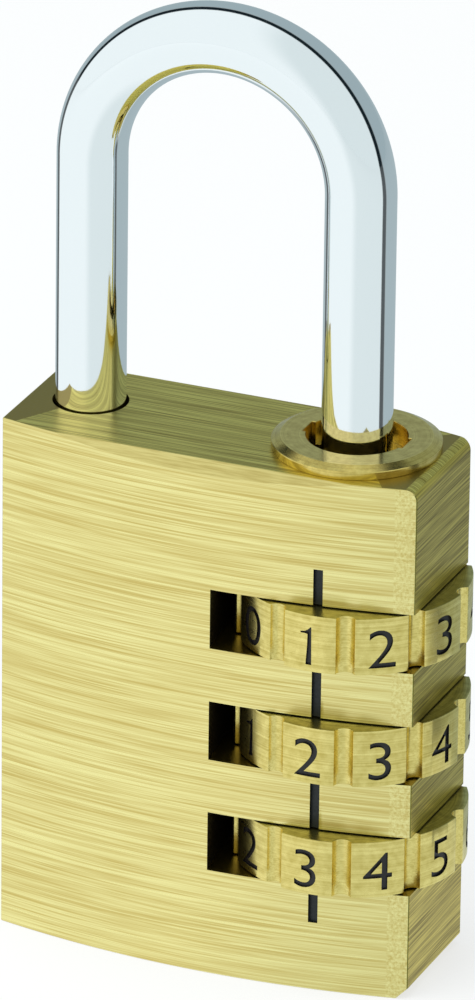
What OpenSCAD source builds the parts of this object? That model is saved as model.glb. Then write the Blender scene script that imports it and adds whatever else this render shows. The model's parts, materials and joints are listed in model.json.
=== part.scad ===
// Three-dial combination padlock with a crowned brass body and a plated steel shackle.
// Origin at the centre of the base, Z up, front of the lock towards -Y, dials towards +X.

/* [Body] */
// Width of the body
body_w = 30; // [28:0.5:36]
// Height of the body
body_h = 37.4; // [37.2:0.1:40]
// Thickness of the body at the middle of its crowned faces
body_t = 13.1; // [12.8:0.1:15]
// How much each crowned face falls away towards the sides
crown_fall = 1.75; // [1:0.05:1.9]
// Depth of the milled top bevel, measured into the thickness
bevel_in = 1.0; // [0.5:0.05:1.2]
// Height of the milled top bevel, measured down the face
bevel_down = 0.75; // [0.4:0.05:1.2]
// Radius of the rounded edge between the top and the dial side
side_top_r = 0.8; // [0.3:0.1:1.2]
// Chamfer on the bottom edge of the dial side
side_foot_chamfer = 0.8; // [0.3:0.1:1.2]
// Small chamfer that breaks the other edges
edge_break = 0.2; // [0.1:0.05:0.3]

/* [Axes] */
// Distance of the long leg and dial axis from the dial side of the body
long_leg_inset = 6.5; // [6:0.1:6.7]
// Distance of the short leg's axis from the other side of the body
short_leg_inset = 4.15; // [3.8:0.05:4.9]
// Distance of both legs behind the middle of the body
axis_back = 0.5; // [0:0.1:0.6]

/* [Shackle] */
// Diameter of the shackle bar
bar_d = 4.8; // [4.4:0.1:5]
// Height of the bow's highest point above the body
bow_rise = 30; // [24:0.5:60]
// Depth of the short leg in its bore
short_leg_in = 6; // [3:0.5:7]
// Play between the short leg and its bore
short_leg_play = 0.2; // [0.1:0.05:0.5]
// Bevel on the ends of the legs
leg_end_bevel = 0.6; // [0.3:0.1:1]
// Reach of the fins on the long leg, from its axis
fin_reach = 3.3; // [3:0.05:3.35]
// Width of a fin
fin_w = 1.5; // [1.2:0.1:1.6]
// Height of a fin
fin_h = 2; // [1.6:0.1:2.2]

/* [Collar] */
// Outer diameter of the collar's flange
collar_d = 11.5; // [10.8:0.1:12]
// Height of the collar's flange above the body
collar_h = 0.85; // [0.6:0.01:1.2]
// Width of the sloping band round the collar's top
collar_slope_w = 0.62; // [0.3:0.01:0.8]
// Fall of the sloping band
collar_slope_fall = 0.3; // [0.1:0.01:0.5]
// Play between the long leg and the collar's guide hole
collar_play = 0.3; // [0.1:0.05:0.4]
// Diameter of the mouth above the guide hole
mouth_d = 6.9; // [6.6:0.1:7]
// Depth of the mouth
mouth_depth = 1.6; // [1:0.1:2.5]
// Reach of the two notches in the mouth and the guide hole, from their axis
notch_reach = 3.6; // [3.55:0.05:3.8]
// Width of the notches
notch_w = 1.75; // [1.6:0.05:2]

/* [Dials] */
// Distance from one dial to the next
dial_pitch = 8.2; // [8:0.1:8.4]
// Height of the middle dial's centre above the base
middle_dial_z = 18.05; // [17.8:0.05:18.3]
// Height of each slot for a dial
slot_h = 4.3; // [4:0.1:4.6]
// Play above and below each dial
dial_play = 0.1; // [0.05:0.01:0.2]
// Outer radius of the dials, on the round fields that carry the numbers
dial_r = 8; // [7.7:0.05:8.1]
// Break of the edge round a dial's top and bottom
dial_break = 0.1; // [0.05:0.01:0.15]
// Radius of the half-round finger grooves between the fields
groove_r = 0.64; // [0.5:0.01:0.8]
// Depth of the finger grooves
groove_depth = 0.55; // [0.3:0.01:0.7]
// Gap between the dial and the slot's inner wall
slot_clear = 0.15; // [0.15:0.05:0.4]
// Radius of the cutter that mills the slots
slot_cutter_r = 42; // [40:1:80]
// Number of places on a dial
places = 10; // [8:1:12]

/* [Code sleeves] */
// Radius of the main bore through the body
main_bore_r = 4.4; // [4.3:0.05:4.5]
// Play between the sleeves and the main bore
sleeve_play = 0.1; // [0.05:0.01:0.15]
// Play between the sleeves and the long leg
leg_play = 0.1; // [0.05:0.01:0.15]
// Radius of the chamber in which a fin is free
chamber_r = 3.5; // [3.45:0.01:3.55]
// Depth of the key grooves on the sleeves
key_depth = 0.35; // [0.2:0.05:0.4]
// Width of the keys inside the dials
key_w = 1; // [0.8:0.1:1.2]
// Play round the keys and gates
key_play = 0.1; // [0.05:0.01:0.15]
// Length of a sleeve below its dial's centre
sleeve_below = 4.05; // [3.95:0.05:4.05]
// Thickness of a sleeve's gate disc
gate_h = 4.35; // [4:0.05:4.5]
// Gap between stacked sleeves
stack_gap = 0.1; // [0.05:0.01:0.2]

/* [Springs and plugs] */
// Thickness of the base plug
plug_h = 1.6; // [1.2:0.1:2]
// Thickness of the thrust washer
washer_h = 0.5; // [0.4:0.1:0.8]
// Wire diameter of the sleeve spring
sleeve_wire = 0.6; // [0.4:0.05:0.7]
// Turns of the sleeve spring
sleeve_turns = 4; // [3:0.5:5]
// Wire diameter of the lift spring
lift_wire = 0.45; // [0.3:0.05:0.5]
// Turns of the lift spring
lift_turns = 6; // [4:0.5:7]
// Outer radius of the lift spring
lift_r = 2.1; // [1.8:0.05:2.2]
// Height of the long leg's end above the base
long_leg_end_z = 5.6; // [5.2:0.1:5.8]
// Distance of the detent hole inside the dials' round fields
detent_inset = 1.95; // [1.85:0.05:2.1]
// Diameter of the detent balls
ball_d = 1.5; // [1.2:0.1:1.6]
// Play round the detent balls
ball_play = 0.1; // [0.05:0.01:0.1]
// Gap between a ball and the dial beside it
ball_gap = 0.05; // [0.03:0.01:0.08]
// Depth of the dimples in the dial faces
dimple_depth = 0.18; // [0.1:0.01:0.25]
// Wire diameter of the detent springs
detent_wire = 0.2; // [0.15:0.01:0.22]
// Turns of a detent spring between two balls
detent_turns = 2.5; // [2:0.5:3]
// Turns of the detent spring in the foot
foot_turns = 5; // [4:1:8]
// Length of the detent spring in the foot
foot_spring_h = 3; // [2.4:0.1:3.6]

/* [Index line] */
// Width of the index line
index_w = 0.65; // [0.5:0.05:0.8]
// Depth of the index line
index_depth = 0.2; // [0.1:0.05:0.3]
// Height of the index line's lower end above the base
index_foot_z = 5; // [4:0.1:6]
// Height of the index line's upper end above the base
index_head_z = 31; // [30.5:0.1:32]

/* [Hidden] */
// Facets of round surfaces
$fn = 96;
// A small overrun that makes cuts pass clean through
over = 1;
// A small play between pressed pieces
press_play = 0.01;

bar_r = bar_d / 2;
long_leg_x = body_w / 2 - long_leg_inset;
short_leg_x = short_leg_inset - body_w / 2;
bow_r = (long_leg_x - short_leg_x) / 2;
bow_z = body_h + bow_rise - bar_r - bow_r;
short_bore_r = bar_r + short_leg_play;
short_bore_depth = short_leg_in + bar_r / 2;
crown_r = (pow(body_w / 2, 2) + pow(crown_fall, 2)) / (2 * crown_fall);
dial_h = slot_h - 2 * dial_play;
slot_wall_x = long_leg_x - dial_r - slot_clear;
sleeve_h = dial_pitch - stack_gap;
sleeve_r = main_bore_r - sleeve_play;
gate_bore_r = bar_r + leg_play;
stack_top_z = dial_z(1) - sleeve_below + sleeve_h;
stack_foot_z = dial_z(3) - sleeve_below;
fin_foot = (sleeve_h - gate_h - fin_h) / 2 + stack_gap;
fin_top_z = dial_z(1) - sleeve_below + fin_foot + fin_h;
// The collar's spigot ends just above the highest place of the top fin
spigot_z = fin_top_z + dial_pitch + 4 * stack_gap;
collar_top_z = body_h + collar_h;
washer_z = stack_foot_z - stack_gap - washer_h;
detent_r = dial_r - detent_inset;
detent_hole_r = ball_d / 2 + ball_play;
step_angle = 360 / places;

// Height of a dial's centre, counted from the top
function dial_z(i) = middle_dial_z + (2 - i) * dial_pitch;

// Move something onto the axis of the dials and the long leg
module on_dial_axis(z = 0) {
    translate([long_leg_x, axis_back, z]) children();
}

// Repeat something at each place round a dial
module each_place(turn = 0) {
    for (i = [0 : places - 1]) rotate(i * step_angle + turn) children();
}

// Round coil spring with flat-lying ends, standing on z = 0
function coil_points(r, h, turns, wire, per_turn, sides) = [
    for (i = [0 : turns * per_turn])
        let (
            a = 360 * i / per_turn,
            z = wire / 2 + (h - wire) * i / (turns * per_turn),
            lean = atan2((h - wire) / turns, 2 * PI * r)
        )
        for (k = [0 : sides - 1])
            let (b = 360 * k / sides, u = wire / 2 * cos(b), v = wire / 2 * sin(b))
            [
                (r + u) * cos(a) + v * sin(lean) * sin(a),
                (r + u) * sin(a) - v * sin(lean) * cos(a),
                z + v * cos(lean)
            ]
];

module coil(outer_r, h, turns, wire, per_turn = 16, sides = 6) {
    rings = turns * per_turn;
    polyhedron(
        points = coil_points(outer_r - wire / 2, h, turns, wire, per_turn, sides),
        faces = [
            [for (k = [0 : sides - 1]) k],
            for (i = [0 : rings - 1])
                for (k = [0 : sides - 1])
                    let (a = i * sides + k, b = i * sides + (k + 1) % sides)
                    [a, a + sides, b + sides, b],
            [for (k = [sides - 1 : -1 : 0]) rings * sides + k]
        ]
    );
}

// Outline of the body from above: two crowned faces between two flat sides
module body_outline() {
    intersection() {
        square([body_w, body_t + over], center = true);
        translate([0, crown_r - body_t / 2]) circle(r = crown_r, $fn = 360);
        translate([0, body_t / 2 - crown_r]) circle(r = crown_r, $fn = 360);
    }
}

// Wedge that is milled off along the top of the front face
module top_bevel() {
    rotate([90, 0, 90])
        linear_extrude(body_w + 2 * over, center = true)
            polygon([
                [-body_t / 2 + bevel_in, body_h],
                [-body_t / 2, body_h - bevel_down],
                [-body_t / 2 - bevel_in, body_h - 2 * bevel_down],
                [-body_t / 2 - bevel_in, body_h + over],
                [-body_t / 2 + bevel_in, body_h + over]
            ]);
}

// Waste outside the rounded edge between the top and the dial side
module side_top_rounding() {
    translate([body_w / 2 - side_top_r, 0, body_h - side_top_r])
        rotate([90, 0, 0])
            linear_extrude(2 * body_t, center = true)
                difference() {
                    square(side_top_r + over);
                    circle(r = side_top_r);
                }
}

// Square bar turned by 45 degrees, which breaks an edge along Y or along Z
module edge_cutter(chamfer, length) {
    rotate(45) linear_extrude(length, center = true) square(chamfer * sqrt(2), center = true);
}

// One slot for a dial, milled in from the dial side with a large cutter
module dial_slot(z) {
    translate([0, 0, z - slot_h / 2])
        linear_extrude(slot_h)
            translate([slot_wall_x + slot_cutter_r, axis_back]) circle(r = slot_cutter_r, $fn = 360);
}

module body() {
    color([0.86, 0.80, 0.50])
        difference() {
            linear_extrude(body_h) body_outline();
            top_bevel();
            mirror([0, 1, 0]) top_bevel();
            side_top_rounding();
            for (y = [-1, 1])
                for (x = [-1, 1])
                    translate([x * body_w / 2, y * (body_t / 2 - crown_fall), body_h / 2])
                        edge_cutter(edge_break, body_h + over);
            translate([body_w / 2, 0, 0]) rotate([90, 0, 0]) edge_cutter(side_foot_chamfer, 2 * body_t);
            translate([-body_w / 2, 0, 0]) rotate([90, 0, 0]) edge_cutter(edge_break, 2 * body_t);
            for (i = [1 : 3]) dial_slot(dial_z(i));
            on_dial_axis(-over) cylinder(r = main_bore_r, h = body_h + 2 * over);
            translate([short_leg_x, axis_back, body_h - short_bore_depth])
                cylinder(r = short_bore_r, h = short_bore_depth + over);
            on_dial_axis(-over)
                translate([-detent_r, 0, 0])
                    cylinder(r = detent_hole_r, h = dial_z(1) - slot_h / 2 + 2 * over);
            index_line();
        }
}

// Shallow groove down the front, opposite the number that counts
module index_line() {
    face_y = -body_t / 2 + crown_r - sqrt(pow(crown_r, 2) - pow(long_leg_x, 2));
    translate([long_leg_x - index_w / 2, face_y - over, index_foot_z])
        cube([index_w, over + index_depth, index_head_z - index_foot_z]);
}

// Bent bar with a long leg that carries three fins and a short leg
module shackle() {
    color([0.86, 0.88, 0.90])
        union() {
            translate([long_leg_x - bow_r, axis_back, bow_z])
                rotate([90, 0, 0])
                    rotate_extrude(angle = 180)
                        translate([bow_r, 0]) circle(r = bar_r);
            on_dial_axis(long_leg_end_z + leg_end_bevel)
                cylinder(r = bar_r, h = bow_z - long_leg_end_z - leg_end_bevel);
            on_dial_axis(long_leg_end_z)
                cylinder(r1 = bar_r - leg_end_bevel, r2 = bar_r, h = leg_end_bevel);
            translate([short_leg_x, axis_back, body_h - short_leg_in + leg_end_bevel])
                cylinder(r = bar_r, h = bow_z - body_h + short_leg_in - leg_end_bevel);
            translate([short_leg_x, axis_back, body_h - short_leg_in])
                cylinder(r1 = bar_r - leg_end_bevel, r2 = bar_r, h = leg_end_bevel);
            for (i = [1 : 3])
                on_dial_axis(dial_z(i) - sleeve_below + fin_foot) fin();
        }
}

// One fin, which points to the front
module fin() {
    intersection() {
        translate([-fin_w / 2, -fin_reach - over, 0]) cube([fin_w, fin_reach + over, fin_h]);
        cylinder(r = fin_reach, h = fin_h);
    }
}

// Turned ring that closes the main bore round the long leg
module collar() {
    color([0.80, 0.72, 0.38])
        on_dial_axis()
            difference() {
                rotate_extrude()
                    polygon([
                        [0, spigot_z],
                        [main_bore_r - press_play, spigot_z],
                        [main_bore_r - press_play, body_h],
                        [collar_d / 2, body_h],
                        [collar_d / 2, collar_top_z - collar_slope_fall],
                        [collar_d / 2 - collar_slope_w, collar_top_z],
                        [0, collar_top_z]
                    ]);
                translate([0, 0, spigot_z - over]) linear_extrude(collar_top_z - spigot_z + 2 * over) {
                    circle(r = bar_r + collar_play);
                    square([2 * notch_reach, notch_w], center = true);
                }
                translate([0, 0, collar_top_z - mouth_depth]) cylinder(d = mouth_d, h = mouth_depth + over);
            }
}

// Outline of a dial: round fields with a half-round finger groove between each two
module dial_outline() {
    difference() {
        circle(r = dial_r);
        each_place(-90 + step_angle / 2)
            translate([dial_r - groove_depth + groove_r, 0]) circle(r = groove_r, $fn = 48);
    }
}

// Turned blank of a dial, with its edges broken
module dial_blank() {
    rotate_extrude()
        polygon([
            [0, -dial_h / 2],
            [dial_r - dial_break, -dial_h / 2],
            [dial_r, -dial_h / 2 + dial_break],
            [dial_r, dial_h / 2 - dial_break],
            [dial_r - dial_break, dial_h / 2],
            [0, dial_h / 2]
        ]);
}

// Number ring, which turns round the long leg
module dial(i) {
    color([0.85, 0.80, 0.52])
        on_dial_axis(dial_z(i))
            difference() {
                intersection() {
                    dial_blank();
                    linear_extrude(dial_h, center = true) dial_outline();
                }
                difference() {
                    cylinder(r = sleeve_r + key_play, h = dial_h + over, center = true);
                    each_place(-90 + step_angle / 2)
                        translate([sleeve_r - key_depth + key_play, -key_w / 2, -dial_h / 2])
                            cube([key_depth + over, key_w, dial_h]);
                }
                each_place(0)
                    for (z = [-1, 1])
                        translate([detent_r, 0, z * (dial_h / 2 + dimple_r() - dimple_depth)])
                            sphere(r = dimple_r(), $fn = 32);
            }
}

// Radius of the round-ended cutter that makes the dimples
function dimple_r() = ball_d / 2;

// Sleeve inside a dial: an open chamber below, and above it a disc with one gate to the front
module code_sleeve(i) {
    color([0.62, 0.62, 0.60])
        on_dial_axis(dial_z(i) - sleeve_below)
            difference() {
                cylinder(r = sleeve_r, h = sleeve_h);
                translate([0, 0, -over]) cylinder(r = gate_bore_r, h = sleeve_h + 2 * over);
                translate([0, 0, -over]) cylinder(r = chamber_r, h = sleeve_h - gate_h + over);
                gate();
                each_place(-90 + step_angle / 2)
                    translate([sleeve_r - key_depth, -key_w / 2 - key_play, -over])
                        cube([key_depth + over, key_w + 2 * key_play, sleeve_h + 2 * over]);
            }
}

// Gate through which a fin passes
module gate() {
    intersection() {
        translate([-fin_w / 2 - key_play, -sleeve_r, -over])
            cube([fin_w + 2 * key_play, sleeve_r, sleeve_h + 2 * over]);
        translate([0, 0, -over]) cylinder(r = chamber_r, h = sleeve_h + 2 * over);
    }
}

// Plain ring between two heights on the dial axis
module ring(z0, z1, outer_r, inner_r) {
    on_dial_axis(z0)
        difference() {
            cylinder(r = outer_r, h = z1 - z0);
            translate([0, 0, -over]) cylinder(r = inner_r, h = z1 - z0 + 2 * over);
        }
}

// Tube between the top sleeve and the collar
module top_spacer() {
    color([0.80, 0.72, 0.38]) ring(stack_top_z + stack_gap, spigot_z, sleeve_r, chamber_r);
}

// Flat ring on which the lowest sleeve turns
module thrust_washer() {
    color([0.62, 0.62, 0.60]) ring(washer_z, washer_z + washer_h, sleeve_r, chamber_r);
}

// Coil spring that holds the sleeves up in their dials
module sleeve_spring() {
    color([0.55, 0.55, 0.56])
        on_dial_axis(plug_h) coil(sleeve_r, washer_z - plug_h, sleeve_turns, sleeve_wire, per_turn = 24);
}

// Coil spring that lifts the open shackle
module lift_spring() {
    color([0.55, 0.55, 0.56])
        on_dial_axis(plug_h) coil(lift_r, long_leg_end_z - plug_h, lift_turns, lift_wire);
}

// Disc that closes the main bore at the bottom
module base_plug() {
    color([0.80, 0.72, 0.38]) on_dial_axis() cylinder(r = main_bore_r - press_play, h = plug_h);
}

// Place something on the axis of the detent hole
module in_detent_hole(z) {
    on_dial_axis(z) translate([-detent_r, 0, 0]) children();
}

function under_dial(i) = dial_z(i) - dial_h / 2 - ball_gap;
function over_dial(i) = dial_z(i) + dial_h / 2 + ball_gap;

module ball(z) {
    color([0.70, 0.70, 0.72]) in_detent_hole(z) sphere(d = ball_d, $fn = 48);
}

module ball_under_dial(i) {
    ball(under_dial(i) - ball_d / 2);
}

module ball_over_dial(i) {
    ball(over_dial(i) + ball_d / 2);
}

// Small coil spring between two balls, or between a ball and the plug below dial 3
module detent_spring(i) {
    top_z = under_dial(i) - ball_d;
    foot_z = i < 3 ? over_dial(i + 1) + ball_d : top_z - foot_spring_h;
    color([0.55, 0.55, 0.56])
        in_detent_hole(foot_z)
            coil(ball_d / 2, top_z - foot_z, i < 3 ? detent_turns : foot_turns, detent_wire, per_turn = 12);
}

// Pin that closes the detent hole in the bottom and carries the lowest spring
module detent_plug() {
    color([0.80, 0.72, 0.38])
        in_detent_hole(0)
            cylinder(r = detent_hole_r - press_play, h = under_dial(3) - ball_d - foot_spring_h);
}

body();
shackle();
collar();
dial(1);  // dial_1
dial(2);  // dial_2
dial(3);  // dial_3
code_sleeve(1);  // code_sleeve_1
code_sleeve(2);  // code_sleeve_2
code_sleeve(3);  // code_sleeve_3
top_spacer();
thrust_washer();
sleeve_spring();
lift_spring();
base_plug();
ball_under_dial(1);  // ball_under_dial_1
ball_over_dial(2);  // ball_over_dial_2
ball_under_dial(2);  // ball_under_dial_2
ball_over_dial(3);  // ball_over_dial_3
ball_under_dial(3);  // ball_under_dial_3
detent_spring(1);  // detent_spring_1
detent_spring(2);  // detent_spring_2
detent_spring(3);  // detent_spring_3
detent_plug();
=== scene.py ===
"""Brass combination padlock with three number dials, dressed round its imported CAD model.

Every length in this file is in metres once it reaches Blender. Sizes are written in
millimetres and multiplied by MM where they are used.
"""

import json
import math

import bpy
from mathutils import Matrix, Vector

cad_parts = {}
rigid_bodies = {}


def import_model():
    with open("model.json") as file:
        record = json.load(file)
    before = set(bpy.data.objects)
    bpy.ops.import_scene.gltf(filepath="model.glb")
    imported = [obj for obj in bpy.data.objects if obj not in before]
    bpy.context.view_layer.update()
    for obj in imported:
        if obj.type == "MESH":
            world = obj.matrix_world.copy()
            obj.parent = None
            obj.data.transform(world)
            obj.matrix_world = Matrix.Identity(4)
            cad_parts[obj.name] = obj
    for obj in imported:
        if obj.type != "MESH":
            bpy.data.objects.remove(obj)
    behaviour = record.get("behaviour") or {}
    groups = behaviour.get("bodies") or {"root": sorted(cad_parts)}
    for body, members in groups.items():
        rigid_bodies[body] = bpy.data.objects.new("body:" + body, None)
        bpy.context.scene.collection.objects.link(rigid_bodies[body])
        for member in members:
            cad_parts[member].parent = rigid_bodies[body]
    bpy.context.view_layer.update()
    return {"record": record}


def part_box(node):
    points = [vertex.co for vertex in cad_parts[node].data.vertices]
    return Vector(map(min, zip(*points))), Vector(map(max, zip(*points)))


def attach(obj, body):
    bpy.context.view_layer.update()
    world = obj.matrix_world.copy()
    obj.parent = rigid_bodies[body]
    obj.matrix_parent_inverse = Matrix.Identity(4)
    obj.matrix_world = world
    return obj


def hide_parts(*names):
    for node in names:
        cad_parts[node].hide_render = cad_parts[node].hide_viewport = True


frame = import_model()
MM = 0.001

# Camera.
# A long lens looks down on the right front corner of the lock. The aim point, the angles and
# the distance were fitted to the body's edges, at a picture of 475 by 1000 pixels.
CAMERA_AZIMUTH = 22.53
CAMERA_ELEVATION = 23.56
CAMERA_ROLL = 0.74
CAMERA_DISTANCE = 734.2
CAMERA_AIM = Vector((-1.77, 4.604, 30.007))
SENSOR_HEIGHT = 24
LENS = 260.55
CLIP_NEAR = 10
CLIP_FAR = 20000

azimuth = math.radians(CAMERA_AZIMUTH)
elevation = math.radians(CAMERA_ELEVATION)
roll = math.radians(CAMERA_ROLL)
towards_camera = Vector((
    math.sin(azimuth) * math.cos(elevation),
    -math.cos(azimuth) * math.cos(elevation),
    math.sin(elevation),
))
level_right = Vector((math.cos(azimuth), math.sin(azimuth), 0))
level_up = towards_camera.cross(level_right)
camera_right = level_right * math.cos(roll) + level_up * math.sin(roll)
camera_up = level_up * math.cos(roll) - level_right * math.sin(roll)
camera_data = bpy.data.cameras.new("photo_camera")
camera_data.sensor_fit = "VERTICAL"
camera_data.sensor_height = SENSOR_HEIGHT
camera_data.lens = LENS
camera_data.clip_start = CLIP_NEAR * MM
camera_data.clip_end = CLIP_FAR * MM
camera = bpy.data.objects.new("photo_camera", camera_data)
bpy.context.scene.collection.objects.link(camera)
turn = Matrix((camera_right, camera_up, towards_camera)).transposed().to_4x4()
camera.matrix_world = Matrix.Translation((CAMERA_AIM + towards_camera * CAMERA_DISTANCE) * MM) @ turn
bpy.context.scene.camera = camera
bpy.context.scene.view_settings.view_transform = "Standard"


# Studio.
# The lock stands on white board in a light tent. White cloth hangs in front and overhead in two
# panels, grey cloth hangs behind, and a dark gap between them draws the lines down the chrome.
WHITE_PANEL = "#F1FAFC"
SHADED_PANEL = "#DCE8EA"
GREY_CLOTH = "#9DAFB5"
DARK_GAP = "#142025"
WHITE = "#FFFFFF"
BOARD_WHITE = "#F4F4F4"
# The panels meet at these rightward parts of a direction, and the dark gap begins and ends at
# these backward parts. The backward way leans a little to the right, and on the wall down.
PANELS_MEET = (-0.12, 0.28)
GAP_BEGINS = (0.15, 0.19)
GAP_ENDS = (0.37, 0.43)
BACK_LEAN = (0.1, 1)
WALL_LEAN = -0.2
BOARD_LEAN = 0
# On the board, the gap's dark line starts this far from the lock and is full at the second.
GAP_FADES_IN = (45, 75)
TENT_CENTRE = Vector((0, 0, 50))
FLOOR_WIDTH = 3000
FLOOR_DROP = 0.02
# Share of the board that glows by itself, as the camera and as metal see it.
CAMERA_GLOW = 0.7
METAL_GLOW = 0.9


def linear(hex_colour):
    """Turn an sRGB hex colour into linear red, green, blue and alpha."""
    values = []
    for i in (1, 3, 5):
        s = int(hex_colour[i:i + 2], 16) / 255
        values.append(s / 12.92 if s <= 0.04045 else ((s + 0.055) / 1.055) ** 2.4)
    return (*values, 1)


def add_node(tree, kind, settings=None, **inputs):
    """Add a node, set its properties, and set or link its inputs.

    An input is named with low lines for spaces, or by its number after an i.
    """
    made = tree.nodes.new(kind)
    for key, value in (settings or {}).items():
        setattr(made, key, value)
    for key, value in inputs.items():
        numbered = key[0] == "i" and key[1:].isdigit()
        socket = made.inputs[int(key[1:])] if numbered else made.inputs[key.replace("_", " ")]
        if isinstance(value, bpy.types.NodeSocket):
            tree.links.new(value, socket)
        else:
            socket.default_value = value
    return made


def new_material(name):
    """Make an empty node material and give back the material, its tree and its output."""
    material = bpy.data.materials.new(name)
    material.use_nodes = True
    tree = material.node_tree
    tree.nodes.clear()
    return material, tree, tree.nodes.new("ShaderNodeOutputMaterial")


def mixed_colour(tree, share, first, second):
    """Blend two colours, each a hex value or a socket, and give back the output."""
    colours = [linear(colour) if isinstance(colour, str) else colour for colour in (first, second)]
    return add_node(
        tree, "ShaderNodeMix", {"data_type": "RGBA"}, i0=share, i6=colours[0], i7=colours[1],
    ).outputs[2]


def tent_colour(tree, toward, lean, gap_shown):
    """Colour of the tent in a direction: two white panels, the dark gap and the grey cloth."""
    right = add_node(
        tree, "ShaderNodeVectorMath", {"operation": "DOT_PRODUCT"}, i0=toward, i1=(1, 0, 0),
    ).outputs["Value"]
    panel = add_node(
        tree, "ShaderNodeMapRange", {"interpolation_type": "SMOOTHSTEP"},
        Value=right, From_Min=PANELS_MEET[0], From_Max=PANELS_MEET[1],
    ).outputs[0]
    white = mixed_colour(tree, panel, WHITE_PANEL, SHADED_PANEL)
    behind = add_node(
        tree, "ShaderNodeVectorMath", {"operation": "DOT_PRODUCT"}, i0=toward, i1=(*BACK_LEAN, lean),
    ).outputs["Value"]
    past_gap = add_node(
        tree, "ShaderNodeMapRange", Value=behind, From_Min=GAP_ENDS[0], From_Max=GAP_ENDS[1],
    ).outputs[0]
    cloth = mixed_colour(tree, past_gap, white, GREY_CLOTH)
    in_gap = add_node(
        tree, "ShaderNodeMapRange", Value=behind, From_Min=GAP_BEGINS[0], From_Max=GAP_BEGINS[1],
    ).outputs[0]
    before = add_node(tree, "ShaderNodeMath", {"operation": "SUBTRACT"}, i0=in_gap, i1=past_gap).outputs[0]
    strength = add_node(tree, "ShaderNodeMath", {"operation": "MULTIPLY"}, i0=before, i1=gap_shown).outputs[0]
    return mixed_colour(tree, strength, cloth, DARK_GAP)


def deselect():
    """Leave edit mode and deselect every object."""
    if bpy.context.object and bpy.context.object.mode != "OBJECT":
        bpy.ops.object.mode_set(mode="OBJECT")
    bpy.ops.object.select_all(action="DESELECT")


deselect()
bpy.ops.mesh.primitive_plane_add(size=FLOOR_WIDTH * MM, location=(0, 0, -FLOOR_DROP * MM))
floor = bpy.context.object
floor.name = "floor"
bpy.ops.object.transform_apply(location=True)
# Matt white board. The eye sees it white with the lock's shadow, and metal sees the tent's
# cloth on it, as if the cloth went on under the lock.
floor_board, tree, output = new_material("matt_white_board")
place = add_node(tree, "ShaderNodeTexCoord").outputs["Object"]
out = add_node(
    tree, "ShaderNodeVectorMath", {"operation": "SUBTRACT"}, i0=place, i1=TENT_CENTRE * MM,
).outputs[0]
toward = add_node(tree, "ShaderNodeVectorMath", {"operation": "NORMALIZE"}, i0=out).outputs[0]
away = add_node(tree, "ShaderNodeVectorMath", {"operation": "LENGTH"}, i0=place).outputs["Value"]
far = add_node(
    tree, "ShaderNodeMapRange", Value=away, From_Min=GAP_FADES_IN[0] * MM, From_Max=GAP_FADES_IN[1] * MM,
).outputs[0]
cloth = tent_colour(tree, toward, BOARD_LEAN, far)
rays = add_node(tree, "ShaderNodeLightPath")
glow_colour = mixed_colour(tree, rays.outputs["Is Camera Ray"], cloth, WHITE)
glow = add_node(tree, "ShaderNodeEmission", Color=glow_colour, Strength=1)
lit = add_node(tree, "ShaderNodeBsdfDiffuse", Color=linear(BOARD_WHITE))
camera_share = add_node(
    tree, "ShaderNodeMath", {"operation": "MULTIPLY"}, i0=rays.outputs["Is Camera Ray"], i1=CAMERA_GLOW,
).outputs[0]
share = add_node(
    tree, "ShaderNodeMath", {"operation": "MULTIPLY_ADD"},
    i0=rays.outputs["Is Glossy Ray"], i1=METAL_GLOW, i2=camera_share,
).outputs[0]
shown = add_node(tree, "ShaderNodeMixShader", Fac=share, i1=lit.outputs[0], i2=glow.outputs[0])
tree.links.new(shown.outputs[0], output.inputs["Surface"])
floor.data.materials.append(floor_board)

world = bpy.data.worlds.new("light_tent")
bpy.context.scene.world = world
world.use_nodes = True
tree = world.node_tree
tree.nodes.clear()
toward = add_node(tree, "ShaderNodeTexCoord").outputs["Generated"]
cloth = tent_colour(tree, toward, WALL_LEAN, 1.0)
rays = add_node(tree, "ShaderNodeLightPath")
tent = mixed_colour(tree, rays.outputs["Is Camera Ray"], cloth, WHITE)
background = add_node(tree, "ShaderNodeBackground", Color=tent, Strength=1)
output = tree.nodes.new("ShaderNodeOutputWorld")
tree.links.new(background.outputs[0], output.inputs["Surface"])


def softbox(name, place, target, width, height, watts):
    """Hang a rectangular area lamp outside the cloth, which hides it from the metal."""
    lamp = bpy.data.lights.new(name, "AREA")
    lamp.shape = "RECTANGLE"
    lamp.size = width * MM
    lamp.size_y = height * MM
    lamp.energy = watts
    holder = bpy.data.objects.new(name, lamp)
    bpy.context.scene.collection.objects.link(holder)
    holder.location = Vector(place) * MM
    aim = Vector(target) - Vector(place)
    holder.rotation_euler = aim.to_track_quat("-Z", "Y").to_euler()
    holder.visible_glossy = False


softbox("front_left_softbox", (-420, -620, 420), (0, 0, 25), 620, 620, 2.4)
softbox("overhead_softbox", (-60, -80, 760), (0, 0, 20), 520, 420, 2.0)


# Case.
# One block of drawn brass bar with crowned front and back. It is milled, bored and brushed,
# and its sharp edges are broken. The index line is milled shallow and filled with black paint.
case_low, case_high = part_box("body")
CASE_W = (case_high.x - case_low.x) / MM
CASE_H = (case_high.z - case_low.z) / MM
CASE_T = (case_high.y - case_low.y) / MM
CROWN_FALL = 1.75
CROWN_SIDES = 900
TOP_BEVEL_IN = 1.0
TOP_BEVEL_DOWN = 0.75
SIDE_TOP_RADIUS = 0.8
SIDE_FOOT_CHAMFER = 0.8
SLOT_H = 4.3
SLOT_CUTTER_R = 42
SLOT_CUTTER_SIDES = 480
SLOT_CLEAR = 0.15
INDEX_W = 0.65
INDEX_DEPTH = 0.2
INDEX_FOOT = 5
INDEX_HEAD = 31
GRAIN_FROM = 13.5
EDGE_ROUNDING = 0.18
FINE_EDGE = 0.05
STRIP_GRAIN = 0.2
STRIP_SHARE = 0.55
# A cutter runs this far past the face that it opens.
OVER = 1
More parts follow.
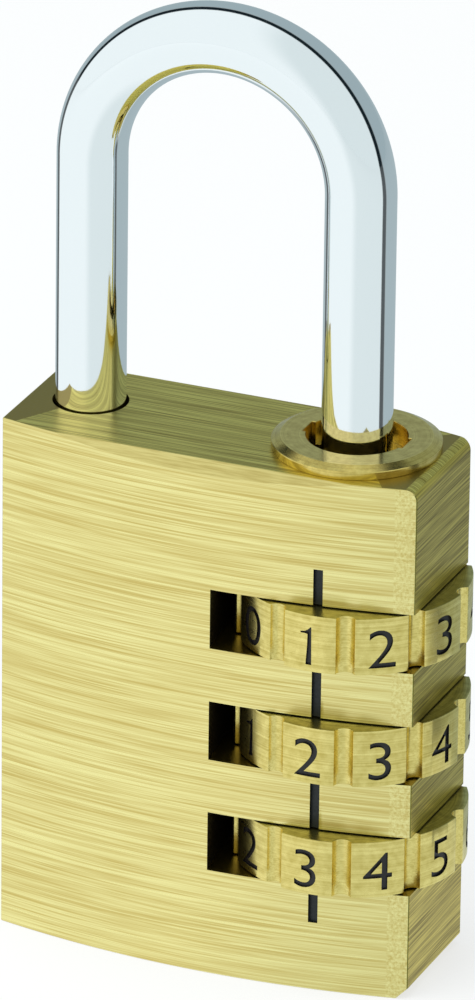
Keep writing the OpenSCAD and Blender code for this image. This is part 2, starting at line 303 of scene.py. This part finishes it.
# A point or face this close to a place counts as on it, and a broken edge reaches this far.
NEAR = 0.02
EDGE_REACH = 0.03
WALL_REACH = 0.1
UPRIGHT_EDGE_W = 0.3
dial_boxes = [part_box(f"dial_{i}") for i in (1, 2, 3)]
DIAL_X = (dial_boxes[0][0].x + dial_boxes[0][1].x) / 2 / MM
DIAL_Y = (dial_boxes[0][0].y + dial_boxes[0][1].y) / 2 / MM
DIAL_R = (dial_boxes[0][1].x - dial_boxes[0][0].x) / 2 / MM
DIAL_H = (dial_boxes[0][1].z - dial_boxes[0][0].z) / MM
DIAL_Z = [(low.z + high.z) / 2 / MM for low, high in dial_boxes]
SLOT_WALL_X = DIAL_X - DIAL_R - SLOT_CLEAR
shackle_low, shackle_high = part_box("shackle")
BAR_R = 2.4
SHORT_LEG_X = shackle_low.x / MM + BAR_R
SHORT_BORE_R = 2.6
SHORT_BORE_DEPTH = 7.2
MAIN_BORE_R = 4.4
DETENT_X = DIAL_X - 6.05
DETENT_HOLE_R = 0.85
DETENT_HOLE_SIDES = 32


def finish_primitive(name):
    """Name the new primitive and move its place into its mesh."""
    made = bpy.context.object
    made.name = name
    made.data.name = name
    bpy.ops.object.transform_apply(location=True, rotation=True, scale=True)
    return made


def add_block(name, low, high):
    """Add a box between two corners in millimetres."""
    deselect()
    low = Vector(low)
    high = Vector(high)
    bpy.ops.mesh.primitive_cube_add(size=1, location=(low + high) / 2 * MM, scale=(high - low) * MM)
    return finish_primitive(name)


def add_cylinder(name, x, y, z0, z1, radius, sides=96):
    """Add an upright cylinder in millimetres."""
    deselect()
    bpy.ops.mesh.primitive_cylinder_add(
        vertices=sides, radius=radius * MM, depth=(z1 - z0) * MM,
        location=(x * MM, y * MM, (z0 + z1) / 2 * MM),
    )
    return finish_primitive(name)


def make_active(piece):
    """Select one piece alone and make it the active one."""
    deselect()
    piece.select_set(True)
    bpy.context.view_layer.objects.active = piece


def apply_modifier(piece, kind, **settings):
    """Add a modifier to a piece, set it and apply it."""
    make_active(piece)
    modifier = piece.modifiers.new(kind.lower(), kind)
    for key, value in settings.items():
        setattr(modifier, key, value)
    bpy.ops.object.modifier_apply(modifier=modifier.name)


def combine(piece, tool, operation="DIFFERENCE"):
    """Cut a tool out of a piece, or join or intersect the two, and remove the tool."""
    apply_modifier(piece, "BOOLEAN", operation=operation, solver="EXACT", object=tool)
    mesh = tool.data
    bpy.data.objects.remove(tool)
    bpy.data.meshes.remove(mesh)


def gather(pieces):
    """Put several separate pieces into the mesh of the first."""
    deselect()
    for piece in pieces:
        piece.select_set(True)
    bpy.context.view_layer.objects.active = pieces[0]
    bpy.ops.object.join()
    return pieces[0]


def bevel_edges(piece, at, width, segments):
    """Bevel the edges whose two ends both pass the test, which gets a place in millimetres."""
    make_active(piece)
    vertices = piece.data.vertices
    for face in piece.data.polygons:
        face.select = False
    for vertex in vertices:
        vertex.select = at(vertex.co / MM)
    for edge in piece.data.edges:
        edge.select = all(vertices[v].select for v in edge.vertices)
    bpy.ops.object.mode_set(mode="EDIT")
    bpy.ops.mesh.select_mode(type="EDGE")
    bpy.ops.mesh.bevel(offset=width * MM, segments=segments, affect="EDGES")
    bpy.ops.object.mode_set(mode="OBJECT")


def break_sharp_edges(piece, width, segments, degrees):
    """Round every edge of a piece that is sharper than an angle."""
    apply_modifier(
        piece, "BEVEL", width=width * MM, segments=segments, limit_method="ANGLE",
        angle_limit=math.radians(degrees), use_clamp_overlap=True,
    )


def slice_off(piece, point, normal):
    """Mill away all that lies beyond a plane and close the cut."""
    make_active(piece)
    bpy.ops.object.mode_set(mode="EDIT")
    bpy.ops.mesh.select_all(action="SELECT")
    bpy.ops.mesh.bisect(
        plane_co=Vector(point) * MM, plane_no=Vector(normal), use_fill=True, clear_outer=True,
    )
    bpy.ops.object.mode_set(mode="OBJECT")


def smooth(piece, degrees):
    """Shade a piece smooth up to an angle, with its broad faces kept flat."""
    make_active(piece)
    bpy.ops.object.shade_smooth_by_angle(angle=math.radians(degrees))
    apply_modifier(piece, "WEIGHTED_NORMAL", keep_sharp=True, weight=70)


half_w = CASE_W / 2
half_t = CASE_T / 2
crown_r = (half_w ** 2 + CROWN_FALL ** 2) / (2 * CROWN_FALL)
case = add_block("case", (-half_w, -half_t - OVER, 0), (half_w, half_t + OVER, CASE_H))
bevel_edges(case, lambda at: at.x > half_w - NEAR and at.z > CASE_H - NEAR, SIDE_TOP_RADIUS, 8)
bevel_edges(case, lambda at: at.x > half_w - NEAR and at.z < NEAR, SIDE_FOOT_CHAMFER, 1)
for name, crown_y in (("front_crown", crown_r - half_t), ("back_crown", half_t - crown_r)):
    crown = add_cylinder(name, 0, crown_y, -OVER, CASE_H + OVER, crown_r, CROWN_SIDES)
    combine(case, crown, "INTERSECT")
for side in (-1, 1):
    slice_off(case, (0, side * (half_t - TOP_BEVEL_IN), CASE_H), (0, side * TOP_BEVEL_DOWN, TOP_BEVEL_IN))
break_sharp_edges(case, EDGE_ROUNDING, 3, 60)
cutters = []
for z in DIAL_Z:
    cutters.append(add_cylinder(
        "slot_cutter", SLOT_WALL_X + SLOT_CUTTER_R, DIAL_Y, z - SLOT_H / 2, z + SLOT_H / 2,
        SLOT_CUTTER_R, SLOT_CUTTER_SIDES,
    ))
cutters.append(add_cylinder(
    "short_bore", SHORT_LEG_X, DIAL_Y, CASE_H - SHORT_BORE_DEPTH, CASE_H + OVER, SHORT_BORE_R,
))
combine(case, gather(cutters))
combine(case, gather([
    add_cylinder("main_bore", DIAL_X, DIAL_Y, -OVER, CASE_H + OVER, MAIN_BORE_R),
    add_cylinder("detent_hole", DETENT_X, DIAL_Y, -OVER, DIAL_Z[0], DETENT_HOLE_R, DETENT_HOLE_SIDES),
]))
index_face = -half_t + crown_r - math.sqrt(crown_r ** 2 - DIAL_X ** 2)
combine(case, add_block(
    "index_cutter",
    (DIAL_X - INDEX_W / 2, index_face - OVER, INDEX_FOOT),
    (DIAL_X + INDEX_W / 2, index_face + INDEX_DEPTH, INDEX_HEAD),
))
break_sharp_edges(case, FINE_EDGE, 2, 40)


def mixed_value(tree, share, first, second):
    """Blend two values, each a number or a socket, and give back the output."""
    return add_node(
        tree, "ShaderNodeMix", {"data_type": "FLOAT"}, i0=share, i2=first, i3=second,
    ).outputs[0]


def noise_value(tree, place, scale, detail, roughness):
    """Give a fine random value over a place, at a number of grains to the metre."""
    return add_node(
        tree, "ShaderNodeTexNoise", Vector=place, Scale=scale, Detail=detail, Roughness=roughness,
    ).outputs["Fac"]


def brushed_brass(name, light, dark, across, streak_mm, length_mm, roughness, grain_from=None):
    """Brass rubbed with a fine abrasive belt: long bright and dull scratches one way.

    The scratches alternate across one axis. A real belt leaves them about 0.03 mm wide, and
    they are drawn three times as wide so that they show. From grain_from millimetres towards
    the dial side, the belt has half missed the face.
    """
    material, tree, output = new_material(name)
    place = add_node(tree, "ShaderNodeTexCoord").outputs["Object"]
    scratches = []
    for share, detail in ((1.0, 2.0), (0.3, 3.0)):
        scale = tuple(share / ((streak_mm if axis == across else length_mm) * MM) for axis in "XYZ")
        moved = add_node(tree, "ShaderNodeMapping", Vector=place, Scale=scale).outputs[0]
        scratches.append(noise_value(tree, moved, 1.0, detail, 0.65))
    scratch = mixed_value(tree, 0.35, *scratches)
    if grain_from:
        grain = noise_value(tree, place, 1 / (STRIP_GRAIN * MM), 3.0, 0.65)
        x = add_node(tree, "ShaderNodeSeparateXYZ", Vector=place).outputs["X"]
        strip = add_node(
            tree, "ShaderNodeMapRange",
            Value=x, From_Min=grain_from * MM, From_Max=(grain_from + 0.1) * MM, To_Max=STRIP_SHARE,
        ).outputs[0]
        scratch = mixed_value(tree, strip, scratch, grain)
    tone = add_node(tree, "ShaderNodeMapRange", Value=scratch, From_Min=0.38, From_Max=0.6).outputs[0]
    colour = mixed_colour(tree, tone, dark, light)
    rough = add_node(
        tree, "ShaderNodeMapRange", Value=scratch, From_Min=0.35, From_Max=0.65,
        To_Min=roughness + 0.08, To_Max=roughness - 0.08,
    ).outputs[0]
    relief = add_node(
        tree, "ShaderNodeBump", Height=scratch, Strength=0.5, Distance=0.02 * MM,
    ).outputs[0]
    shader = add_node(
        tree, "ShaderNodeBsdfPrincipled", Base_Color=colour, Roughness=rough, Metallic=1.0, Normal=relief,
    )
    tree.links.new(shader.outputs[0], output.inputs["Surface"])
    return material


def plain_finish(name, colour, metallic, roughness, grain_mm, grain_depth_mm, spread=0.12):
    """A finish with no direction: a fine grain in colour, gloss and relief, coarse enough to show."""
    material, tree, output = new_material(name)
    place = add_node(tree, "ShaderNodeTexCoord").outputs["Object"]
    grain = noise_value(tree, place, 1 / (grain_mm * MM), 3.0, 0.6)
    shade = linear(colour)
    darker = tuple(c * (1 - spread) for c in shade[:3]) + (1,)
    lighter = tuple(min(1, c * (1 + spread)) for c in shade[:3]) + (1,)
    tone = mixed_colour(tree, grain, darker, lighter)
    rough = add_node(
        tree, "ShaderNodeMapRange", Value=grain, From_Min=0.3, From_Max=0.7,
        To_Min=roughness * 0.8, To_Max=roughness * 1.2,
    ).outputs[0]
    relief = add_node(
        tree, "ShaderNodeBump", Height=grain, Strength=0.3, Distance=grain_depth_mm * MM,
    ).outputs[0]
    shader = add_node(
        tree, "ShaderNodeBsdfPrincipled", Base_Color=tone, Roughness=rough, Metallic=metallic, Normal=relief,
    )
    tree.links.new(shader.outputs[0], output.inputs["Surface"])
    return material


# Brushed brass, front and back: pale straw yellow with long scratches from side to side.
front_brass = brushed_brass(
    "brushed_brass_front", "#FFF1A6", "#DDC473", "Z", 0.1, 9.0, 0.34, grain_from=GRAIN_FROM,
)
# Brushed brass, sides and top, with painted shade: the same belt, coloured a darker olive gold for faces
# turned from the light.
shaded_side_brass = brushed_brass("brushed_brass_side_painted_shade", "#DFC65A", "#8F7A34", "Z", 0.1, 7.0, 0.36)
shaded_top_brass = brushed_brass("brushed_brass_top_painted_shade", "#F4E276", "#A8933F", "Y", 0.1, 9.0, 0.36)
# Milled brass: the cutter leaves short, even lines and a softer shine along the top bevels.
bevel_brass = brushed_brass("milled_brass_bevel", "#EAD88C", "#D2BC70", "Z", 0.09, 3.0, 0.36)
# Slot brass with painted shade: the slot walls and floors are painted a warm near black for the deep shade
# inside the slots.
painted_slot_shade = plain_finish("brass_slot_painted_shade", "#1C150B", 0.6, 0.5, 0.3, 0.01)
# Drilled brass: a darker, even gold inside the bores.
bore_brass = plain_finish("drilled_brass", "#A08A3C", 1.0, 0.35, 0.2, 0.01)
# Stoved paint: a dull, slightly blue black that fills the index line.
index_paint = plain_finish("black_stoving_paint", "#0A0E0F", 0.0, 0.45, 0.15, 0.01)
# Sawn brass: coarser and duller lines across the base.
base_brass = brushed_brass("sawn_brass_base", "#E5D184", "#C4AE60", "Y", 0.15, 5.0, 0.42)
# Brass with a painted dark line: the rounded upright edges beside the dials are painted a thin dark olive,
# standing for the shade that their rounding reflects.
painted_dark_edge = plain_finish("brass_edge_painted_dark_line", "#7D783A", 1.0, 0.4, 0.12, 0.01, spread=0.35)
case.data.materials.clear()
for material in (
    front_brass, shaded_side_brass, shaded_top_brass, bevel_brass, painted_slot_shade, bore_brass, index_paint, base_brass,
    painted_dark_edge,
):
    case.data.materials.append(material)
FRONT, SIDE, TOP, BEVEL, SLOT, BORE, INDEX, BASE, EDGE = range(9)
BORES = ((DIAL_X, MAIN_BORE_R), (SHORT_LEG_X, SHORT_BORE_R), (DETENT_X, DETENT_HOLE_R))
for face in case.data.polygons:
    centre = face.center / MM
    normal = face.normal
    in_bore = any(math.hypot(centre.x - x, centre.y - DIAL_Y) < radius + NEAR for x, radius in BORES)
    at_slot = any(abs(centre.z - z) < SLOT_H / 2 + EDGE_REACH for z in DIAL_Z)
    in_slot = at_slot and centre.x > SLOT_WALL_X - WALL_REACH
    crown_y = half_t - crown_r + math.sqrt(crown_r ** 2 - centre.x ** 2)
    inside = abs(centre.y) < crown_y - EDGE_REACH
    at_index = abs(centre.x - DIAL_X) < INDEX_W / 2 + NEAR
    index = at_index and INDEX_FOOT - NEAR < centre.z < INDEX_HEAD + NEAR
    upright_edge = centre.x > half_w - UPRIGHT_EDGE_W and abs(normal.z) < 0.4
    if in_bore:
        face.material_index = BORE
    # Faces inside the slots get the near-black painted shade.
    elif in_slot and inside:
        face.material_index = SLOT
    elif index and centre.y < 0 and inside:
        face.material_index = INDEX
    # The rounded upright edges get the painted dark line, standing for the shade reflected in their rounding.
    elif upright_edge and normal.x > 0.35 and abs(normal.y) > 0.35:
        face.material_index = EDGE
    # The sides take their darker copy of the brass, painted shade for faces turned from the light.
    elif abs(normal.x) > 0.7:
        face.material_index = SIDE
    elif normal.z < -0.7:
        face.material_index = BASE
    elif 0.3 < normal.z < 0.9 and abs(normal.y) > 0.3:
        face.material_index = BEVEL
    # The top takes its darker copy of the brass, painted shade for a face turned from the light.
    elif normal.z > 0.6:
        face.material_index = TOP
    else:
        face.material_index = FRONT
smooth(case, 28)
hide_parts("body")
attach(case, "case")


# Shackle.
# A round steel bar, bent cold and plated with nickel and chrome. The long leg carries three
# fins, which the code sleeves let through one way only, and the short leg ends in the case.
BOW_R = (DIAL_X - SHORT_LEG_X) / 2
BOW_Z = shackle_high.z / MM - BAR_R - BOW_R
LONG_LEG_END = shackle_low.z / MM
SHORT_LEG_IN = 6
LEG_BEVEL = 0.6
FIN_REACH = 3.3
FIN_W = 1.5
FIN_H = 2
FIN_BELOW_DIAL = 3.025
FIN_ROOT = 1
BAR_SIDES = 96
BOW_STEPS = 96
PLATE_RIPPLE = 2.2
PLATE_HAZE = 0.5


def draw_leg_down(foot_z):
    """Draw the selected ring down from the bow to a leg's bevelled and closed foot."""
    end_scale = (BAR_R - LEG_BEVEL) / BAR_R
    for drop in ((foot_z + LEG_BEVEL - BOW_Z) * MM, -LEG_BEVEL * MM):
        bpy.ops.mesh.extrude_region_move(TRANSFORM_OT_translate={"value": (0, 0, drop)})
    bpy.ops.transform.resize(value=(end_scale, end_scale, 1))
    bpy.ops.mesh.edge_face_add()


deselect()
bpy.ops.mesh.primitive_circle_add(
    vertices=BAR_SIDES, radius=BAR_R * MM, location=(DIAL_X * MM, DIAL_Y * MM, BOW_Z * MM),
)
shackle = finish_primitive("shackle_bar")
bpy.ops.object.mode_set(mode="EDIT")
bpy.ops.mesh.select_all(action="SELECT")
draw_leg_down(LONG_LEG_END)
bpy.ops.mesh.select_all(action="DESELECT")
bpy.ops.object.mode_set(mode="OBJECT")
for vertex in shackle.data.vertices:
    vertex.select = abs(vertex.co.z / MM - BOW_Z) < NEAR
for edge in shackle.data.edges:
    edge.select = all(shackle.data.vertices[v].select for v in edge.vertices)
bpy.ops.object.mode_set(mode="EDIT")
bpy.ops.mesh.spin(
    steps=BOW_STEPS, angle=math.pi, center=((DIAL_X - BOW_R) * MM, DIAL_Y * MM, BOW_Z * MM),
    axis=(0, 1, 0),
)
draw_leg_down(CASE_H - SHORT_LEG_IN)
bpy.ops.mesh.select_all(action="SELECT")
bpy.ops.mesh.remove_doubles(threshold=0.001 * MM)
bpy.ops.mesh.normals_make_consistent(inside=False)
bpy.ops.object.mode_set(mode="OBJECT")
for z in DIAL_Z:
    low = z - FIN_BELOW_DIAL
    fin = add_block(
        "fin",
        (DIAL_X - FIN_W / 2, DIAL_Y - FIN_REACH, low),
        (DIAL_X + FIN_W / 2, DIAL_Y - FIN_ROOT, low + FIN_H),
    )
    combine(shackle, fin, "UNION")


def plated_chrome(name):
    """Bright nickel and chrome plate: a mirror with a faint cool tone and a slight haze."""
    material, tree, output = new_material(name)
    place = add_node(tree, "ShaderNodeTexCoord").outputs["Object"]
    ripple = noise_value(tree, place, 1 / (PLATE_RIPPLE * MM), 2.0, 0.5)
    haze = noise_value(tree, place, 1 / (PLATE_HAZE * MM), 3.0, 0.6)
    rough = add_node(
        tree, "ShaderNodeMapRange", Value=haze, From_Min=0.3, From_Max=0.7, To_Min=0.04, To_Max=0.08,
    ).outputs[0]
    relief = add_node(tree, "ShaderNodeBump", Height=ripple, Strength=0.12, Distance=0.02 * MM).outputs[0]
    shader = add_node(
        tree, "ShaderNodeBsdfPrincipled", Base_Color=linear("#F7F9FA"), Roughness=rough, Metallic=1.0,
        Normal=relief,
    )
    tree.links.new(shader.outputs[0], output.inputs["Surface"])
    return material


# Bright chrome plate: it shows the tent's panels as clear bands with soft, dark lines between.
shackle_chrome = plated_chrome("bright_chrome_plate")
shackle.data.materials.clear()
shackle.data.materials.append(shackle_chrome)
make_active(shackle)
bpy.ops.object.shade_smooth_by_angle(angle=math.radians(30))
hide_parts("shackle")
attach(shackle, "shackle_bar")


# Collar.
# A brass ring, turned on a lathe and pressed into the main bore. A wide mouth and two notches
# are cut in it, its top slopes away in a narrow band, and the lathe leaves fine rings on it.
collar_low, collar_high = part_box("collar")
COLLAR_R = (collar_high.x - collar_low.x) / 2 / MM
COLLAR_TOP = collar_high.z / MM
SPIGOT_Z = collar_low.z / MM
SLOPE_W = 0.62
SLOPE_FALL = 0.3
GUIDE_R = 2.7
MOUTH_R = 3.45
MOUTH_DEPTH = 1.6
NOTCH_REACH = 3.6
NOTCH_W = 1.75
SPIGOT_PLAY = 0.01
SPIGOT_OVERLAP = 0.2
COLLAR_EDGE = 0.04
COLLAR_SIDES = 192
MOUTH_SIDES = 128
STAIN_SIZE = 0.6

collar = add_cylinder("turned_collar", DIAL_X, DIAL_Y, CASE_H, COLLAR_TOP, COLLAR_R, COLLAR_SIDES)
for face in collar.data.polygons:
    face.select = face.normal.z > 0.9
for vertex in collar.data.vertices:
    vertex.select = False
for edge in collar.data.edges:
    edge.select = False
bpy.ops.object.mode_set(mode="EDIT")
bpy.ops.mesh.select_mode(type="FACE")
bpy.ops.mesh.inset(thickness=SLOPE_W * MM, depth=0)
bpy.ops.transform.translate(value=(0, 0, SLOPE_FALL * MM))
bpy.ops.object.mode_set(mode="OBJECT")
for vertex in collar.data.vertices:
    if vertex.co.z / MM > CASE_H + NEAR:
        vertex.co.z -= SLOPE_FALL * MM
spigot_r = MAIN_BORE_R - SPIGOT_PLAY
spigot = add_cylinder(
    "spigot", DIAL_X, DIAL_Y, SPIGOT_Z, CASE_H + SPIGOT_OVERLAP, spigot_r, COLLAR_SIDES,
)
combine(collar, spigot, "UNION")
guide = add_cylinder("guide_hole", DIAL_X, DIAL_Y, SPIGOT_Z - OVER, COLLAR_TOP + OVER, GUIDE_R)
combine(collar, guide)
mouth = add_cylinder(
    "mouth", DIAL_X, DIAL_Y, COLLAR_TOP - MOUTH_DEPTH, COLLAR_TOP + OVER, MOUTH_R, MOUTH_SIDES,
)
combine(collar, mouth)
combine(collar, add_block(
    "notch_cutter",
    (DIAL_X - NOTCH_REACH, DIAL_Y - NOTCH_W / 2, SPIGOT_Z - OVER),
    (DIAL_X + NOTCH_REACH, DIAL_Y + NOTCH_W / 2, COLLAR_TOP + OVER),
))
break_sharp_edges(collar, COLLAR_EDGE, 2, 40)


def turned_brass(name, light, dark, ring_mm, roughness):
    """Turned brass: fine rings round the dial axis that the tool leaves, and a soft polish.

    A real feed leaves rings about 0.05 mm apart, and they are drawn twice as coarse or more so
    that they show.
    """
    material, tree, output = new_material(name)
    place = add_node(tree, "ShaderNodeTexCoord").outputs["Object"]
    moved = add_node(
        tree, "ShaderNodeMapping", Vector=place, Location=(-DIAL_X * MM, -DIAL_Y * MM, 0),
    ).outputs[0]
    flat = add_node(
        tree, "ShaderNodeVectorMath", {"operation": "MULTIPLY"}, i0=moved, i1=(1, 1, 0),
    ).outputs[0]
    radius = add_node(tree, "ShaderNodeVectorMath", {"operation": "LENGTH"}, i0=flat).outputs["Value"]
    height = add_node(tree, "ShaderNodeSeparateXYZ", Vector=moved).outputs["Z"]
    lathe_place = add_node(tree, "ShaderNodeCombineXYZ", X=radius, Y=height).outputs[0]
    rings = noise_value(tree, lathe_place, 1 / (ring_mm * MM), 2.0, 0.6)
    stain = noise_value(tree, place, 1 / (STAIN_SIZE * MM), 3.0, 0.6)
    both = mixed_value(tree, 0.45, rings, stain)
    tone = add_node(tree, "ShaderNodeMapRange", Value=both, From_Min=0.35, From_Max=0.65).outputs[0]
    colour = mixed_colour(tree, tone, dark, light)
    rough = add_node(
        tree, "ShaderNodeMapRange", Value=both, From_Min=0.3, From_Max=0.7,
        To_Min=roughness + 0.06, To_Max=roughness - 0.06,
    ).outputs[0]
    relief = add_node(tree, "ShaderNodeBump", Height=rings, Strength=0.25, Distance=0.01 * MM).outputs[0]
    shader = add_node(
        tree, "ShaderNodeBsdfPrincipled", Base_Color=colour, Roughness=rough, Metallic=1.0, Normal=relief,
    )
    tree.links.new(shader.outputs[0], output.inputs["Surface"])
    return material


# Polished, turned brass: the brightest gold on the lock, with faint rings and small stains.
collar_brass = turned_brass("turned_brass_collar", "#F2DA82", "#C0A755", 0.09, 0.2)
collar.data.materials.clear()
collar.data.materials.append(collar_brass)
smooth(collar, 15)
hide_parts("collar")
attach(collar, "case")


# Dials.
# Three number rings cut from turned brass. Ten round fields carry a figure each, engraved and
# filled with black, and between them ten half-round grooves are milled for the finger.
DIAL_SIDES = 360
GROOVE_R = 0.64
GROOVE_DEPTH = 0.55
GROOVE_SIDES = 40
DIAL_EDGE = 0.13
DIAL_BORE_R = 4.4
DIAL_BORE_SIDES = 100
KEY_REACH = 4.05
KEY_W = 1.0
DIMPLE_R = 0.75
DIMPLE_DEPTH = 0.18
FIGURE_H = 2.8
FIGURE_WIDEN = 1.1
FIGURE_THIN = 0.012
FIGURE_DROP = 0.15
FIGURE_DEPTH = 0.16
# A figure of the typeface stands this share of its size, and is cut with a tool this long.
TYPE_HEIGHT = 0.7
FIGURE_CUTTER = 1
# Bore and key cutters run this far past the middle of the blank.
BORE_CUTTER = 5
KEY_CUTTER = 6
PLACES = 10
STEP = 360 / PLACES

# Satin brass, turned: pale gold with faint rings round the dial.
dial_brass = turned_brass("satin_brass_dial", "#FAE692", "#D2BC66", 0.12, 0.3)
# Faced brass with painted shade: the dials' flat sides are painted a duller olive, standing for the dark slot
# walls that they face and reflect.
dial_face_painted_shade = turned_brass("dial_sides_brass_painted_shade", "#CFC67A", "#98904C", 0.12, 0.34)
# Enamel: a warm black, slightly shiny, in the sunk figures.
figure_paint = plain_finish("black_enamel_figures", "#15100E", 0.0, 0.4, 0.1, 0.01)


def turn_about_dial_axis(piece, degrees):
    """Turn a piece's mesh about the dial axis."""
    to_axis = Matrix.Translation(Vector((DIAL_X, DIAL_Y, 0)) * MM)
    turning = Matrix.Rotation(math.radians(degrees), 4, "Z")
    piece.data.transform(to_axis @ turning @ to_axis.inverted())


def copy_of(piece, name):
    """Copy a piece with a mesh of its own."""
    made = piece.copy()
    made.data = piece.data.copy()
    made.name = name
    bpy.context.scene.collection.objects.link(made)
    return made


def ring_of(piece, first_angle):
    """Repeat a piece at every place of a dial, as one mesh."""
    turned = []
    for place in range(PLACES):
        made = copy_of(piece, piece.name)
        turn_about_dial_axis(made, first_angle + STEP * place)
        turned.append(made)
    bpy.data.objects.remove(piece)
    return gather(turned)


# The figure 1 has a curved flag and a stem that widens to its foot.
ONE = (
    (0.2, 0), (0.17, 2.75), (0.1, 2.75), (-0.08, 2.55), (-0.3, 2.42), (-0.62, 2.36),
    (-0.6, 2.24), (-0.35, 2.26), (-0.1, 2.22), (-0.12, 1.4), (-0.22, 0),
)


def add_figure(number):
    """Model one figure as a solid that stands through the front of the blank at z = 0."""
    deselect()
    if number == 1:
        outline = bpy.data.curves.new("figure_outline", "CURVE")
        outline.dimensions = "2D"
        outline.fill_mode = "BOTH"
        outline.extrude = FIGURE_CUTTER / 2 * MM
        line = outline.splines.new("POLY")
        line.points.add(len(ONE) - 1)
        for point, (x, y) in zip(line.points, ONE):
            point.co = (x * MM, y * MM, 0, 1)
        line.use_cyclic_u = True
        figure = bpy.data.objects.new("figure_outline", outline)
        bpy.context.scene.collection.objects.link(figure)
        make_active(figure)
    else:
        bpy.ops.object.text_add(location=(0, 0, 0))
        text = bpy.context.object
        text.data.body = str(number)
        text.data.align_x = "CENTER"
        text.data.size = FIGURE_H / TYPE_HEIGHT * MM
        text.data.resolution_u = 6
        text.data.extrude = FIGURE_CUTTER / 2 * MM
        text.data.offset = -FIGURE_THIN * MM
    bpy.ops.object.convert(target="MESH")
    made = bpy.context.object
    made.scale = (1 if number == 1 else FIGURE_WIDEN, 1, 1)
    made.rotation_euler = (math.pi / 2, 0, 0)
    cutter_y = DIAL_Y - DIAL_R + FIGURE_DEPTH - FIGURE_CUTTER / 2
    made.location = Vector((DIAL_X, cutter_y, -FIGURE_H / 2 - FIGURE_DROP)) * MM
    bpy.ops.object.transform_apply(location=True, rotation=True, scale=True)
    made.data.materials.clear()
    made.data.materials.append(dial_brass)
    made.data.materials.append(figure_paint)
    for face in made.data.polygons:
        face.material_index = 1
    return made


half_h = DIAL_H / 2
blank = add_cylinder("dial_blank", DIAL_X, DIAL_Y, -half_h, half_h, DIAL_R, DIAL_SIDES)
groove_x = DIAL_X + DIAL_R - GROOVE_DEPTH + GROOVE_R
groove = add_cylinder("groove", groove_x, DIAL_Y, -BORE_CUTTER, BORE_CUTTER, GROOVE_R, GROOVE_SIDES)
combine(blank, ring_of(groove, -90 + STEP / 2))
break_sharp_edges(blank, DIAL_EDGE, 2, 40)
bore = add_cylinder(
    "dial_bore", DIAL_X, DIAL_Y, -BORE_CUTTER, BORE_CUTTER, DIAL_BORE_R, DIAL_BORE_SIDES,
)
key = add_block(
    "key",
    (DIAL_X + KEY_REACH, DIAL_Y - KEY_W / 2, -KEY_CUTTER),
    (DIAL_X + BORE_CUTTER, DIAL_Y + KEY_W / 2, KEY_CUTTER),
)
combine(bore, ring_of(key, -90 + STEP / 2))
combine(blank, bore)
dimples = []
for z in (-1, 1):
    deselect()
    bpy.ops.mesh.primitive_uv_sphere_add(
        segments=20, ring_count=10, radius=DIMPLE_R * MM,
        location=(DETENT_X * MM, DIAL_Y * MM, z * (half_h + DIMPLE_R - DIMPLE_DEPTH) * MM),
    )
    dimples.append(finish_primitive("dimple"))
combine(blank, ring_of(gather(dimples), 0))
blank.data.materials.clear()
for material in (dial_brass, figure_paint, dial_face_painted_shade):
    blank.data.materials.append(material)
# The dials' flat sides get the duller olive, painted shade for the slot walls that they face.
for face in blank.data.polygons:
    if abs(face.normal.z) > 0.9:
        face.material_index = 2
figures = [add_figure(number) for number in range(PLACES)]
for index, z in enumerate(DIAL_Z):
    dial = copy_of(blank, f"number_dial_{index + 1}")
    cutters = []
    for place in range(PLACES):
        cutter = copy_of(figures[(index + 1 + place) % PLACES], "figure_cutter")
        turn_about_dial_axis(cutter, STEP * place)
        cutters.append(cutter)
    combine(dial, gather(cutters))
    dial.data.transform(Matrix.Translation((0, 0, z * MM)))
    smooth(dial, 30)
    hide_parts(f"dial_{index + 1}")
    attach(dial, ("top_dial", "middle_dial", "bottom_dial")[index])
for spare in [blank] + figures:
    bpy.data.objects.remove(spare)


# Inner works.
# The sleeves and washer are turned steel, the springs and balls hardened steel, and the
# plugs and spacer turned brass. They are hidden in the case and keep their CAD shapes.
# Turned steel: an even, light grey with a soft shine.
turned_steel = plain_finish("turned_steel", "#9A9A98", 1.0, 0.32, 0.25, 0.01)
# Drawn spring steel: a darker grey with a brighter shine.
spring_wire = plain_finish("drawn_spring_steel", "#86878A", 1.0, 0.28, 0.12, 0.005)
# Turned brass, unpolished: a deeper, duller gold with coarser rings.
inner_brass = turned_brass("turned_brass_plug", "#D2C27A", "#A59548", 0.15, 0.34)
FINISHES = {"sleeve_steel": turned_steel, "spring_steel": spring_wire, "inner_brass": inner_brass}
for subpart in frame["record"]["subparts"]:
    finish = FINISHES.get(subpart["material_slot"])
    if finish:
        bpy.data.objects[subpart["node"]].material_slots[0].material = finish

deselect()
